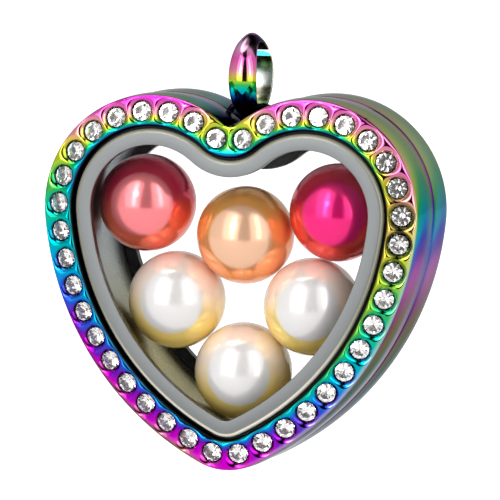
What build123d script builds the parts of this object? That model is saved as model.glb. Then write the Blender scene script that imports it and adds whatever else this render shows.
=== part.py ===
"""A see-through heart locket on a wide split bail, with round crystals set in its front rim.

Millimetres. +Z is up, the stone-set front faces -Y, and the origin is the seat of the neck chain:
the top of the hole through the bail. Every piece round the heart is one section carried round the
same tangent arcs, the heart line, which the centres of the crystals follow.
"""
from build123d import *
import math
import os

os.makedirs("parts", exist_ok=True)

# The heart line, seen from the front
heart_height = 24.18
lobe_spread = 6.18
lobe_radius = 7.64
notch_radius = 1.92
side_radius = 22.0
tip_radius = 3.67

# The bail, and the loop on the locket that it passes through
bail_inner_radius = 2.67
bail_wall = 0.68
bail_edge_wall = 0.16
bail_width = 2.2
bail_top_width = 1.2
bail_low_width = 1.6
bail_turn = 3.5
bail_split = 0.72
bail_split_back = 2.3
bail_clearance = 0.31
loop_wire = 0.5
loop_play = 0.05
loop_reach = 1.6
loop_bend = 0.35
loop_foot = 0.9

# The front and back halves of the case
rim_out = 1.13
rim_in = 1.23
face_slope = 12.0
side_bulge = 0.15
bulge_share = 0.4
front_depth = 5.32
inner_lip_round = 0.4
outer_lip_round = 0.34
back_round = 1.5
back_lip_round = 0.1
back_recess = 0.2
seam_gap = 0.1
seam_round = 0.2
loop_from_seam = 0.3

# The window rings, the liner and the panes
ring_recess = 0.42
ring_step = 0.2
ring_shoulder = 0.35
groove_depth = 0.5
window_edge = 2.7
window_round = 0.06
ring_thickness = 0.62
pane_thickness = 0.7
pane_sink = 0.05
fit_gap = 0.03
lid_play = 0.25
liner_wall = 0.35
liner_rise = 2.6

# The crystals and their seats
crystals_a_side = 20
crystal_diameter = 1.46
crystal_table = 0.84
crystal_crown = 0.22
crystal_girdle = 0.05
crystal_pavilion = 0.62
crystal_culet = 0.08
crystal_girdle_facets = 5.0
crystal_sink = 0.34
seat_gap = 0.03
seat_mouth = 1.98

# The pearls, as large as leaves this headroom with so many one above the other in the heart
pearl_rows = 3
pearl_headroom = 1.38
pearl_play = 0.3

# How the pearls lie: each beside two things, with a small gap to each. side is 1 for the place on
# the right of the way from the first thing to the second, and -1 for the left
PEARLS = [
    ("pearl_bottom", "right wall", 0.17, "left wall", 0.1, 1),
    ("pearl_white_left", "left wall", 0.14, "pearl_bottom", 0.08, 1),
    ("pearl_white_right", "right wall", 0.2, "pearl_bottom", 0.03, -1),
    ("pearl_gold", "pearl_white_left", 0.03, "pearl_white_right", 0.08, -1),
    ("pearl_red", "left wall", 0.12, "pearl_white_left", 0.3, 1),
    ("pearl_magenta", "right wall", 0.75, "pearl_white_right", 0.06, -1),
]

# The hinge on the left flank
hinge_length = 4.6
hinge_drop = 0.8
hinge_stand = 0.75
knuckle_radius = 0.55
knuckle_gap = 0.1
middle_knuckle = 1.6
tab_bite = 0.5
pin_radius = 0.3
pin_gap = 0.05

# Places that follow from the sizes, in depth: from the loop's plane Y = 0 to the front and the back
pearl_diameter = (heart_height - pearl_headroom) / pearl_rows
pearl_radius = pearl_diameter / 2
seam_back_y = -loop_wire / 2 - loop_from_seam
seam_front_y = seam_back_y - seam_gap
front_face_y = seam_front_y - front_depth
ring_face_y = front_face_y + ring_recess
front_pane_y = ring_face_y + pane_sink
ring_back_y = ring_face_y + ring_thickness
pearl_y = front_pane_y + pane_thickness + pearl_play + pearl_radius
back_pane_y = pearl_y + pearl_radius + pearl_play
back_ring_y = back_pane_y + pane_thickness + pane_sink
back_face_y = back_ring_y + back_recess
liner_front_y = seam_back_y - liner_rise
liner_out = rim_in + lid_play
liner_in = liner_out + liner_wall
slope = math.tan(math.radians(face_slope))
heart_line_y = front_face_y + rim_in * slope

# Places that follow from the sizes, in height: from the chain's seat down
bail_z = -bail_inner_radius
bail_outer_radius = bail_inner_radius + bail_wall
loop_z = bail_z - bail_inner_radius + loop_play + loop_wire / 2
notch_low_z = bail_z - bail_outer_radius - bail_clearance - rim_out
notch_z = notch_low_z + notch_radius
lobe_z = notch_z - math.sqrt((notch_radius + lobe_radius) ** 2 - lobe_spread**2)
tip_low_z = notch_low_z - heart_height
tip_z = tip_low_z + tip_radius


def side_centre():
    """Centre of the long side arc, which lies inside both the lobe's and the tip's circle."""
    to_lobe = side_radius - lobe_radius
    to_tip = side_radius - tip_radius
    dx = -lobe_spread
    dz = tip_z - lobe_z
    apart = math.hypot(dx, dz)
    along = (to_lobe**2 - to_tip**2 + apart**2) / (2 * apart)
    across = math.sqrt(to_lobe**2 - along**2)
    x = lobe_spread + (along * dx + across * dz) / apart
    z = lobe_z + (along * dz - across * dx) / apart
    return x, z


side_x, side_z = side_centre()
notch_turn = math.degrees(math.atan2(lobe_z - notch_z, lobe_spread))
side_start = math.degrees(math.atan2(lobe_z - side_z, lobe_spread - side_x))
side_end = math.degrees(math.atan2(tip_z - side_z, -side_x))

# The right half's arcs from the notch to the tip: centre, radius, first and last angle, and
# whether outwards points away from the centre (1) or at it (-1)
RIGHT_HALF = [
    {"x": 0.0, "z": notch_z, "r": notch_radius, "a": -90.0, "b": notch_turn, "out": -1},
    {"x": lobe_spread, "z": lobe_z, "r": lobe_radius, "a": notch_turn + 180, "b": side_start, "out": 1},
    {"x": side_x, "z": side_z, "r": side_radius, "a": side_start, "b": side_end, "out": 1},
    {"x": 0.0, "z": tip_z, "r": tip_radius, "a": side_end, "b": -90.0, "out": 1},
]


def mirrored(arc):
    """The same arc on the left half, run from the tip back to the notch."""
    return {**arc, "x": -arc["x"], "a": 180 - arc["b"], "b": 180 - arc["a"]}


WHOLE_HEART = RIGHT_HALF + [mirrored(arc) for arc in reversed(RIGHT_HALF)]


def on_arc(arc, angle, offset=0.0):
    """A point (x, z) of an arc's offset line, with offset counted outwards from the heart line."""
    radius = arc["r"] + arc["out"] * offset
    turn = math.radians(angle)
    return arc["x"] + radius * math.cos(turn), arc["z"] + radius * math.sin(turn)


def heart_face(offset, y):
    """The flat face inside the heart line offset outwards, at depth y."""
    edges = []
    for arc in WHOLE_HEART:
        middle = (arc["a"] + arc["b"]) / 2
        start, mid, end = [on_arc(arc, angle, offset) for angle in (arc["a"], middle, arc["b"])]
        edges.append(ThreePointArc((start[0], y, start[1]), (mid[0], y, mid[1]), (end[0], y, end[1])))
    return Face(Wire(edges))


def heart_slab(offset, y_front, y_back):
    """A flat heart from y_front back to y_back."""
    return extrude(heart_face(offset, y_front), amount=y_back - y_front, dir=(0, 1, 0))


def section(corners):
    """A closed section of straight sides, from (offset, depth, rounding radius) corners."""
    edges = []
    ends = []
    for i, (x, y, radius) in enumerate(corners):
        corner = Vector(x, y)
        before = (Vector(*corners[i - 1][:2]) - corner).normalized()
        after = (Vector(*corners[(i + 1) % len(corners)][:2]) - corner).normalized()
        if radius == 0:
            ends.append((corner, corner))
            continue
        half = math.radians(before.get_angle(after)) / 2
        inwards = (before + after).normalized()
        start = corner + before * (radius / math.tan(half))
        end = corner + after * (radius / math.tan(half))
        middle = corner + inwards * (radius / math.sin(half) - radius)
        edges.append(ThreePointArc(start, middle, end))
        ends.append((start, end))
    for i, (start, _) in enumerate(ends):
        edges.append(Line(ends[i - 1][1], start))
    return Face(Wire(edges))


def carried(corners):
    """The section carried all the way round the heart line: one revolved piece for each arc."""
    face = section(corners)
    pieces = []
    for arc in WHOLE_HEART:
        x, z = on_arc(arc, arc["a"])
        outwards = Vector(math.cos(math.radians(arc["a"])), 0, math.sin(math.radians(arc["a"]))) * arc["out"]
        plane = Plane(
            origin=(x, 0, z), x_dir=outwards, z_dir=outwards.cross(Vector(0, 1, 0))
        )
        turn = arc["b"] - arc["a"]
        axis = Axis((arc["x"], 0, arc["z"]), (0, -1 if turn > 0 else 1, 0))
        pieces.append(revolve(plane * face, axis=axis, revolution_arc=abs(turn)))
    return pieces[0].fuse(*pieces[1:]).clean()


def rod(start, end, radius):
    """A round bar between two points."""
    line = Vector(*end) - Vector(*start)
    plane = Plane(origin=start, z_dir=line)
    return extrude(plane * Circle(radius), amount=line.length)


def block(low, high):
    """A box between its lowest and highest corners."""
    size = [b - a for a, b in zip(low, high)]
    middle = [(a + b) / 2 for a, b in zip(low, high)]
    return Pos(*middle) * Box(*size)


# Crystals

def crystal_places():
    """A plane for each crystal, right side then left, from the notch to the tip: its origin is on
    the front face, its z direction is the face's outward normal, tilted by the face's slope."""
    lengths = [arc["r"] * math.radians(abs(arc["b"] - arc["a"])) for arc in RIGHT_HALF]
    pitch = sum(lengths) / crystals_a_side
    tilt = math.radians(face_slope)
    right = []
    left = []
    for i in range(crystals_a_side):
        run = (i + 0.5) * pitch
        k = 0
        while run > lengths[k]:
            run -= lengths[k]
            k += 1
        arc = RIGHT_HALF[k]
        angle = arc["a"] + (arc["b"] - arc["a"]) * run / lengths[k]
        x, z = on_arc(arc, angle)
        out_x = arc["out"] * math.cos(math.radians(angle))
        out_z = arc["out"] * math.sin(math.radians(angle))
        for side, places in ((1, right), (-1, left)):
            places.append(
                Plane(
                    origin=(side * x, heart_line_y, z),
                    x_dir=(-side * out_z, 0, out_x),
                    z_dir=(
                        side * out_x * math.sin(tilt),
                        -math.cos(tilt),
                        out_z * math.sin(tilt),
                    ),
                )
            )
    return left + right


def crystal():
    """A round cut stone with its girdle at z = -crystal_sink: a table, 8 kite facets and 16
    smaller ones on the crown, 16 girdle faces, and 8 long facets below, down to a small culet."""
    girdle_z = -crystal_sink
    radius = crystal_diameter / 2
    top_z = girdle_z + crystal_crown
    low_z = girdle_z - crystal_girdle - crystal_pavilion
    stone = Pos(0, 0, (top_z + low_z) / 2) * Cylinder(2 * radius, top_z - low_z)
    girdle_reach = radius * math.cos(math.pi / 16)
    cuts = []
    crown_slope = math.atan2(crystal_crown, radius - crystal_table / 2)
    pavilion_slope = math.atan2(crystal_pavilion, radius - crystal_culet / 2)
    for i in range(16):
        angle = (i + 0.5) * math.pi / 8
        cuts.append((angle, girdle_reach, girdle_z, 0.0))
        cuts.append((angle, girdle_reach, girdle_z, crown_slope + math.radians(crystal_girdle_facets)))
    for i in range(8):
        angle = i * math.pi / 4
        cuts.append((angle, radius, girdle_z, crown_slope))
        cuts.append((angle, radius, girdle_z - crystal_girdle, -pavilion_slope))
    for angle, reach, height, lean in cuts:
        # the stone lies on the inner side of a plane through this point of its edge
        flat = math.pi / 2 - abs(lean)
        if lean == 0:
            normal = Vector(math.cos(angle), math.sin(angle), 0)
        else:
            normal = Vector(
                math.cos(flat) * math.cos(angle),
                math.cos(flat) * math.sin(angle),
                math.copysign(math.sin(flat), lean),
            )
        point = Vector(reach * math.cos(angle), reach * math.sin(angle), height)
        stone = split(stone, bisect_by=Plane(origin=point, z_dir=normal), keep=Keep.BOTTOM)
    return stone


def seat():
    """The cutter for one crystal's seat: a flared mouth, a straight wall and a cone below."""
    radius = crystal_diameter / 2 + seat_gap
    floor_z = -crystal_sink - crystal_girdle
    low_z = floor_z - crystal_pavilion - 2 * seat_gap
    rise = (seat_mouth / 2 - radius) / crystal_sink
    above = crystal_sink
    outline = Polyline(
        (0, above),
        (seat_mouth / 2 + above * rise, above),
        (radius, -crystal_sink + seat_gap),
        (radius, floor_z - seat_gap),
        (crystal_culet, low_z),
        (0, low_z),
        close=True,
    )
    return revolve(Plane.XZ * make_face(outline), axis=Axis.Z)


# Hinge on the left flank

hinge_x = -(lobe_spread + lobe_radius + rim_out + hinge_stand)
hinge_y = (seam_front_y + seam_back_y) / 2
hinge_z = lobe_z - hinge_drop
hinge_top_z = hinge_z + hinge_length / 2
hinge_low_z = hinge_z - hinge_length / 2
tab_x = hinge_x + hinge_stand + tab_bite


def knuckle(z_low, z_high, y_tab_end, y_seam):
    """One barrel of the hinge with the tab that joins it to its half of the case."""
    barrel = rod((hinge_x, hinge_y, z_low), (hinge_x, hinge_y, z_high), knuckle_radius)
    ys = sorted((y_tab_end, y_seam))
    tab = block((hinge_x, ys[0], z_low), (tab_x, ys[1], z_high))
    return barrel + tab


def pin_hole():
    return rod(
        (hinge_x, hinge_y, hinge_low_z - knuckle_gap),
        (hinge_x, hinge_y, hinge_top_z + knuckle_gap),
        pin_radius + pin_gap,
    )


def hinge_pin():
    return rod((hinge_x, hinge_y, hinge_low_z), (hinge_x, hinge_y, hinge_top_z), pin_radius)


# The bail

def bail():
    """A wide ring, flat inside and rounded outside, narrower at its top and bottom, and cut through
    behind its top."""
    half = bail_width / 2
    shoulder = bail_inner_radius + bail_edge_wall
    outline = [
        Line((-half, bail_inner_radius), (half, bail_inner_radius)),
        Line((half, bail_inner_radius), (half, shoulder)),
        ThreePointArc((half, shoulder), (0, bail_outer_radius), (-half, shoulder)),
        Line((-half, shoulder), (-half, bail_inner_radius)),
    ]
    ring = revolve(Face(Wire(outline)), axis=Axis.X)
    top = bail_top_width / 2
    low = bail_low_width / 2
    reach = bail_outer_radius
    sides = [
        ThreePointArc((-low, 0, -reach), (-half, 0, 0), (-top, 0, reach)),
        Line((-top, 0, reach), (top, 0, reach)),
        ThreePointArc((top, 0, reach), (half, 0, 0), (low, 0, -reach)),
        Line((low, 0, -reach), (-low, 0, -reach)),
    ]
    ring = ring & extrude(Face(Wire(sides)), amount=reach, dir=(0, 1, 0), both=True)
    split_angle = math.degrees(math.asin(bail_split_back / (bail_inner_radius + bail_wall / 2)))
    ring = ring - Rot(-split_angle, 0, 0) * Pos(0, 0, reach) * Box(2 * bail_width, bail_split, 2 * reach)
    return Pos(0, 0, bail_z) * Rot(0, 0, bail_turn) * ring


def loop():
    """The wire soldered across the notch, with its ends bent down into the lobes."""
    foot_z = loop_z - loop_foot
    path = FilletPolyline(
        (-loop_reach, 0, foot_z),
        (-loop_reach, 0, loop_z),
        (loop_reach, 0, loop_z),
        (loop_reach, 0, foot_z),
        radius=loop_bend,
    )
    return sweep(Plane(origin=path @ 0, z_dir=path % 0) * Circle(loop_wire / 2), path=path)


# The two halves of the case

def side_wall(y_one, y_two):
    """The middle corner of a half's outer side, which bulges a little, and its wide rounding."""
    half = abs(y_two - y_one) / 2
    lean = math.atan2(side_bulge, half)
    return (rim_out + side_bulge, (y_one + y_two) / 2, bulge_share * half / math.tan(lean))


def front_frame():
    """The front half: the stone-set rim and its side wall, with the middle barrel of the hinge."""
    outer_face_y = front_face_y + (rim_in + rim_out) * slope
    shell = carried(
        [
            (-rim_in, seam_front_y, 0),
            (-rim_in, front_face_y, inner_lip_round),
            (rim_out, outer_face_y, outer_lip_round),
            side_wall(outer_face_y, seam_front_y),
            (rim_out, seam_front_y, seam_round),
        ]
    )
    seat_cutter = seat()
    shell = shell - [place * seat_cutter for place in crystal_places()]
    barrel = knuckle(
        hinge_z - middle_knuckle / 2,
        hinge_z + middle_knuckle / 2,
        hinge_y - knuckle_radius,
        seam_front_y,
    )
    barrel = barrel - heart_slab(rim_out - tab_bite, front_face_y, seam_front_y)
    return shell + barrel - pin_hole()


def back_frame():
    """The back half: side wall, rounded back edge, outer barrels of the hinge, and the loop."""
    inner = -(liner_out - fit_gap)
    shell = carried(
        [
            (inner, seam_back_y, 0),
            (rim_out, seam_back_y, seam_round),
            side_wall(seam_back_y, back_face_y),
            (rim_out, back_face_y, back_round),
            (inner, back_face_y, back_lip_round),
        ]
    )
    inside = heart_slab(rim_out - tab_bite, seam_back_y, back_face_y)
    for z_low, z_high in (
        (hinge_low_z, hinge_z - middle_knuckle / 2 - knuckle_gap),
        (hinge_z + middle_knuckle / 2 + knuckle_gap, hinge_top_z),
    ):
        barrel = knuckle(z_low, z_high, hinge_y + knuckle_radius, seam_back_y)
        shell = shell + (barrel - inside)
    return shell - pin_hole() + (loop() - inside)


# Window rings and panes

def front_ring():
    """The window ring: a flat face with a rounded outer shoulder, and a flange under the groove."""
    flange = -(rim_in + fit_gap)
    step = -(rim_in + ring_step)
    return carried(
        [
            (flange, ring_back_y, 0),
            (flange, ring_face_y + groove_depth, 0),
            (step, ring_face_y + groove_depth, 0),
            (step, ring_face_y, ring_shoulder),
            (-window_edge, ring_face_y, window_round),
            (-window_edge, ring_back_y, 0),
        ]
    )


def back_liner():
    """The steel wall round the pearls, in one piece with the back window ring."""
    return carried(
        [
            (-liner_out, liner_front_y, 0),
            (-liner_out, back_ring_y, 0),
            (-window_edge, back_ring_y, window_round),
            (-window_edge, back_pane_y, 0),
            (-liner_in, back_pane_y, 0),
            (-liner_in, liner_front_y, 0),
        ]
    )


def pane(y_front):
    return heart_slab(-window_edge - fit_gap, y_front, y_front + pane_thickness)


# Pearls

def crossing(one, two, side):
    """Where two circles (x, z, radius) cross, on the side to the right (1) or left (-1) of the
    way from the first centre to the second."""
    dx, dz = two[0] - one[0], two[1] - one[1]
    apart = math.hypot(dx, dz)
    along = (one[2] ** 2 - two[2] ** 2 + apart**2) / (2 * apart)
    across = math.sqrt(one[2] ** 2 - along**2) * side
    return one[0] + (along * dx + across * dz) / apart, one[1] + (along * dz - across * dx) / apart


def resting_circle(thing, gap, places):
    """The circle (x, z, radius) that a pearl's centre keeps to beside a wall or another pearl."""
    if thing == "right wall":
        return side_x, side_z, side_radius - liner_in - pearl_radius - gap
    if thing == "left wall":
        return -side_x, side_z, side_radius - liner_in - pearl_radius - gap
    return *places[thing], pearl_diameter + gap


def pearl_places():
    """The pearls stacked from the tip up, as (x, z) by name."""
    places = {}
    for name, one, gap_one, two, gap_two, side in PEARLS:
        circle_one = resting_circle(one, gap_one, places)
        circle_two = resting_circle(two, gap_two, places)
        places[name] = crossing(circle_one, circle_two, side)
    return places


# All pieces by node name
nodes = {
    "bail": bail(),
    "front_frame": front_frame(),
    "front_ring": front_ring(),
    "front_window": pane(front_pane_y),
    "back_frame": back_frame(),
    "back_liner": back_liner(),
    "back_window": pane(back_pane_y),
    "hinge_pin": hinge_pin(),
}
for name, (x, z) in pearl_places().items():
    nodes[name] = Pos(x, pearl_y, z) * Sphere(pearl_radius)
one_crystal = crystal()
for number, place in enumerate(crystal_places(), start=1):
    nodes[f"crystal_{number:02d}"] = place * one_crystal

for name, solid in nodes.items():
    export_step(solid, f"parts/{name}.step")
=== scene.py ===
# %% [markdown]
# # A heart locket in rainbow steel
#
# The real object is a see-through locket, 30 mm wide. Two halves of polished steel with a coloured
# oxide film close over two clear panes, forty round crystals sit in the front rim, and six pearls
# roll about inside. This notebook dresses its CAD model: shapes that are right stay as they are and
# get a finish, and the coloured steel pieces and the front ring are worked out again as fine
# surfaces, because a mirror finish shows every flat facet of a mesh.

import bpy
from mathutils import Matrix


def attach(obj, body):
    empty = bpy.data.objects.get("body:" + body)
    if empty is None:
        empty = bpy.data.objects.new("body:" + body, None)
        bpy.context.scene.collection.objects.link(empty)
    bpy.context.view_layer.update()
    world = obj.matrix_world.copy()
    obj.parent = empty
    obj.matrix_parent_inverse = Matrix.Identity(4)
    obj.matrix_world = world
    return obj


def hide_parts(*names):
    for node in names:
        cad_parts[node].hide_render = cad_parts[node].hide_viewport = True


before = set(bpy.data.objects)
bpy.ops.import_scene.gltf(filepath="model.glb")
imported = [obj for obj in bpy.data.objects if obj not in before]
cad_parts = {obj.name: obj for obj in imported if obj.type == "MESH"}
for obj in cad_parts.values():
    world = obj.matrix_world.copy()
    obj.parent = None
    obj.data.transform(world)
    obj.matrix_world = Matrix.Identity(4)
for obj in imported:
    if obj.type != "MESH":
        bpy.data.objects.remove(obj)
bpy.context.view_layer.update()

import math
import bmesh
import bpy
import numpy as np
from mathutils import Matrix, Vector

MM = 0.001

# %% [markdown]
# ## The camera
#
# The photograph was taken from the right, a little above, with a long lens, and with the camera
# turned by less than a degree. A camera could be aimed with a constraint, but then its numbers are
# hidden in Blender. Here its place is worked out from the point it looks at, so a few numbers say
# it all, and the same sum places the lamps.

# %% The camera at the photograph's angle
AZIMUTH, ELEVATION, ROLL = 17.382, 5.469, 0.783
LENS, SENSOR = 324.0, 36.0
NEAREST, FARTHEST = 0.01, 20.0
DISTANCE = 343.51 * MM
TARGET = Vector((1.886, -5.707, -15.636)) * MM


def directions(azimuth, elevation, roll=0.0):
    """Unit vectors right, up and back of a viewer at that azimuth and elevation, in degrees."""
    a, e, r = (math.radians(v) for v in (azimuth, elevation, roll))
    back = Vector((math.sin(a) * math.cos(e), -math.cos(a) * math.cos(e), math.sin(e)))
    right = Vector((math.cos(a), math.sin(a), 0))
    up = back.cross(right)
    return right * math.cos(r) + up * math.sin(r), up * math.cos(r) - right * math.sin(r), back


def facing_locket(distance, side, over, away):
    """The place and turn of a camera or lamp: target + away * distance, looking back along away."""
    turned = Matrix((side, over, away)).transposed().to_4x4()
    return Matrix.Translation(TARGET + away * distance) @ turned


lens_data = bpy.data.cameras.new("camera")
lens_data.lens, lens_data.sensor_width = LENS, SENSOR
lens_data.clip_start, lens_data.clip_end = NEAREST, FARTHEST
camera = bpy.data.objects.new("camera", lens_data)
camera.matrix_world = facing_locket(DISTANCE, *directions(AZIMUTH, ELEVATION, ROLL))
bpy.context.scene.collection.objects.link(camera)
bpy.context.scene.camera = camera
print("camera at", [round(v, 4) for v in camera.location])

# %% [markdown]
# ## The studio
#
# Polished metal has no look of its own: it shows what stands round it. A jewellery table has a
# tall soft box on either side of the camera with a dark gap between them, which draws the black
# line down the bail, a soft key light high on the left, a pale floor, and darkness overhead. A
# picture of a studio could light it all, but a few area lights can be read and moved one by one.
# The floor glows a little by itself, so that the locket's lower edges have something to mirror.

# %% Helpers for the nodes of a finish
def new_material(name):
    """A material, its Principled shader and its node tree."""
    material = bpy.data.materials.new(name)
    material.use_nodes = True
    return material, material.node_tree.nodes["Principled BSDF"], material.node_tree


def feed(tree, socket, value):
    """Puts a number, a colour of three numbers or another node's output into a socket."""
    if isinstance(value, (int, float)):
        socket.default_value = value
    elif isinstance(value, tuple):
        socket.default_value = (*value, 1)
    else:
        tree.links.new(value, socket)


def calculate(tree, operation, *values):
    """A sum over numbers or sockets."""
    node = tree.nodes.new("ShaderNodeMath")
    node.operation = operation
    for socket, value in zip(node.inputs, values):
        feed(tree, socket, value)
    return node.outputs[0]


def towards_of(tree, vector, direction):
    """How far a vector turns towards a direction: vector . direction."""
    node = tree.nodes.new("ShaderNodeVectorMath")
    node.operation = "DOT_PRODUCT"
    node.inputs[1].default_value = direction
    tree.links.new(vector, node.inputs[0])
    return node.outputs["Value"]


def spread(tree, value, low, high):
    """The value, 0 to 1, moved to the range low to high."""
    node = tree.nodes.new("ShaderNodeMapRange")
    feed(tree, node.inputs["To Min"], low)
    feed(tree, node.inputs["To Max"], high)
    tree.links.new(value, node.inputs["Value"])
    return node.outputs["Result"]


def step_of(tree, value, start, end):
    """0 where the value is start, 1 where it is end, smooth between."""
    node = tree.nodes.new("ShaderNodeMapRange")
    node.interpolation_type = "SMOOTHSTEP"
    node.inputs["From Min"].default_value = start
    node.inputs["From Max"].default_value = end
    tree.links.new(value, node.inputs["Value"])
    return node.outputs["Result"]


print("node helpers ready for", bpy.context.scene.name)

# %% The floor
FLOOR_Z, FLOOR_RADIUS, FLOOR_BEHIND, FLOOR_CORNERS = -46.0 * MM, 0.40, 0.20, 96
FLOOR_TONE, FLOOR_GLOW, FLOOR_SEEN_GLOW = 0.35, 0.6, 0.5


def disc():
    """Corners of a flat disc: x = cx + r cos t, y = cy + r sin t, its centre behind the locket."""
    turn = np.linspace(0, 2 * np.pi, FLOOR_CORNERS, endpoint=False)
    centre = -FLOOR_BEHIND * directions(AZIMUTH, 0)[2]
    x, y = centre.x + FLOOR_RADIUS * np.cos(turn), centre.y + FLOOR_RADIUS * np.sin(turn)
    return np.stack([x, y, np.full(FLOOR_CORNERS, FLOOR_Z)], axis=1)


floor_mesh = bpy.data.meshes.new("floor")
floor_mesh.from_pydata(disc().tolist(), [], [list(range(FLOOR_CORNERS))])
floor = bpy.data.objects.new("floor", floor_mesh)
bpy.context.scene.collection.objects.link(floor)

floor_paint, shader, tree = new_material("floor_paint")
shader.inputs["Base Color"].default_value = (FLOOR_TONE, FLOOR_TONE, FLOOR_TONE, 1)
shader.inputs["Roughness"].default_value = 0.9
shader.inputs["Specular IOR Level"].default_value = 0.1
shader.inputs["Emission Color"].default_value = (1, 1, 1, 1)
seen = tree.nodes.new("ShaderNodeLightPath").outputs["Is Camera Ray"]
glow = calculate(tree, "MULTIPLY_ADD", seen, FLOOR_SEEN_GLOW, FLOOR_GLOW)
tree.links.new(glow, shader.inputs["Emission Strength"])
floor_mesh.materials.append(floor_paint)
print("floor:", FLOOR_CORNERS, "corners,", round(-FLOOR_Z / MM), "mm below the origin")

# %% The soft boxes
# name, azimuth from the camera's, elevation, distance, width, height, brightness, shape
LAMPS = [
    ("left_box", -37, 22, 0.62, 0.44, 0.80, 1.3, "RECTANGLE"),
    ("left_core", -33, 22, 0.60, 0.10, 0.60, 3.4, "RECTANGLE"),
    ("right_box", 34, 22, 0.62, 0.46, 0.80, 0.9, "RECTANGLE"),
    ("right_core", 32, 22, 0.60, 0.10, 0.60, 2.6, "RECTANGLE"),
    ("key_light", -30, 24, 0.55, 0.09, 0.09, 12.0, "ELLIPSE"),
    ("top_box", -135, 78, 0.70, 0.70, 0.60, 3.0, "ELLIPSE"),
]


def soft_box(name, azimuth, elevation, distance, width, height, brightness, shape):
    """An area light aimed at the locket. Its brightness is the radiance of its face, so its power
    is brightness * pi * area."""
    data = bpy.data.lights.new(name, "AREA")
    data.shape = shape
    data.size, data.size_y = width, height
    area = width * height * (math.pi / 4 if shape == "ELLIPSE" else 1)
    data.energy = brightness * math.pi * area
    lamp = bpy.data.objects.new(name, data)
    lamp.matrix_world = facing_locket(distance, *directions(AZIMUTH + azimuth, elevation))
    bpy.context.scene.collection.objects.link(lamp)
    print(name, round(data.energy, 2), "W")


for lamp_row in LAMPS:
    soft_box(*lamp_row)

# %% [markdown]
# ## The room
#
# Round the table stands a pale room with two dark parts, which the polished steel mirrors: the gap
# between the soft boxes, where the camera stands, and a dark ceiling that starts behind the locket.
# Black cards could hang there as objects, but they would be seen in other views. Smooth steps over
# the direction of a ray paint them on the background, and what the camera sees directly is white.

# %% The room round the table
SIDES, BEHIND, DARK, SEEN = 0.85, 0.74, 0.012, 1.3
# where the gap and the ceiling start and end across, as the ray's share to the camera's right
GAP_ACROSS, CEILING_ACROSS = (-0.34, -0.28, 0.14, 0.20), (-0.5, -0.35, 0.8, 0.95)

room = bpy.data.worlds.new("room")
bpy.context.scene.world = room
room.use_nodes = True
tree = room.node_tree
tree.nodes.clear()
ray = tree.nodes.new("ShaderNodeTexCoord").outputs["Generated"]
across, _, towards = directions(AZIMUTH, 0)


def ray_step(direction, low, high):
    """A smooth step from 0 to 1 as the ray turns towards a direction: step(ray . direction)."""
    return step_of(tree, towards_of(tree, ray, direction), low, high)


def band(low, low_end, high, high_end):
    """1 where the ray's share across is between the two, with soft edges."""
    beyond = calculate(tree, "SUBTRACT", 1.0, ray_step(across, high, high_end))
    return calculate(tree, "MULTIPLY", ray_step(across, low, low_end), beyond)


gap = calculate(tree, "MULTIPLY", band(*GAP_ACROSS), ray_step(towards, 0.0, 0.1))
far_middle = calculate(tree, "MULTIPLY", band(*CEILING_ACROSS), ray_step(-towards, -0.05, 0.1))
ceiling = calculate(tree, "MULTIPLY", ray_step((0, 0, 1), 0.42, 0.55), far_middle)
dark = calculate(tree, "MAXIMUM", gap, ceiling)
pale = spread(tree, ray_step(-towards, -0.3, 0.3), SIDES, BEHIND)
seen = tree.nodes.new("ShaderNodeLightPath").outputs["Is Camera Ray"]
white = calculate(tree, "MULTIPLY", seen, SEEN)
sky = tree.nodes.new("ShaderNodeBackground")
sky.inputs["Color"].default_value = (1, 1, 1, 1)
backdrop = calculate(tree, "MAXIMUM", spread(tree, dark, pale, DARK), white)
tree.links.new(backdrop, sky.inputs["Strength"])
tree.links.new(sky.outputs[0], tree.nodes.new("ShaderNodeOutputWorld").inputs["Surface"])
bpy.context.scene.view_settings.view_transform = "Standard"
print("room nodes:", len(tree.nodes))

# %% [markdown]
# ## The heart line
#
# Every piece round the heart is one section carried along one line of tangent arcs: notch, lobe,
# long side and tip. The line could be a Bezier curve, but arcs keep the crystals on exact circles
# and give the outward direction for nothing, so the same arcs as in the CAD source are used.

# %% Sizes of the heart, in millimetres
HEART_HEIGHT, LOBE_SPREAD, LOBE_RADIUS = 24.18, 6.18, 7.64
NOTCH_RADIUS, SIDE_RADIUS, TIP_RADIUS = 1.92, 22.0, 3.67
BAIL_INNER, BAIL_WALL, BAIL_CLEARANCE = 2.67, 0.68, 0.31
RIM_OUT, RIM_IN = 1.13, 1.23
BAIL_Z = -BAIL_INNER
NOTCH_LOW = BAIL_Z - BAIL_INNER - BAIL_WALL - BAIL_CLEARANCE - RIM_OUT
NOTCH_Z = NOTCH_LOW + NOTCH_RADIUS
LOBE_Z = NOTCH_Z - math.sqrt((NOTCH_RADIUS + LOBE_RADIUS) ** 2 - LOBE_SPREAD**2)
TIP_LOW = NOTCH_LOW - HEART_HEIGHT
TIP_Z = TIP_LOW + TIP_RADIUS
print("notch, lobe and tip centres at z", [round(z, 2) for z in (NOTCH_Z, LOBE_Z, TIP_Z)])


# %% The arcs
def side_centre():
    """The side arc's centre: as far from the lobe's and the tip's centre as the radii differ."""
    one, two = SIDE_RADIUS - LOBE_RADIUS, SIDE_RADIUS - TIP_RADIUS
    dx, dz = -LOBE_SPREAD, TIP_Z - LOBE_Z
    apart = math.hypot(dx, dz)
    along = (one**2 - two**2 + apart**2) / (2 * apart)
    aside = math.sqrt(one**2 - along**2)
    x = LOBE_SPREAD + (along * dx + aside * dz) / apart
    return x, LOBE_Z + (along * dz - aside * dx) / apart


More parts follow.
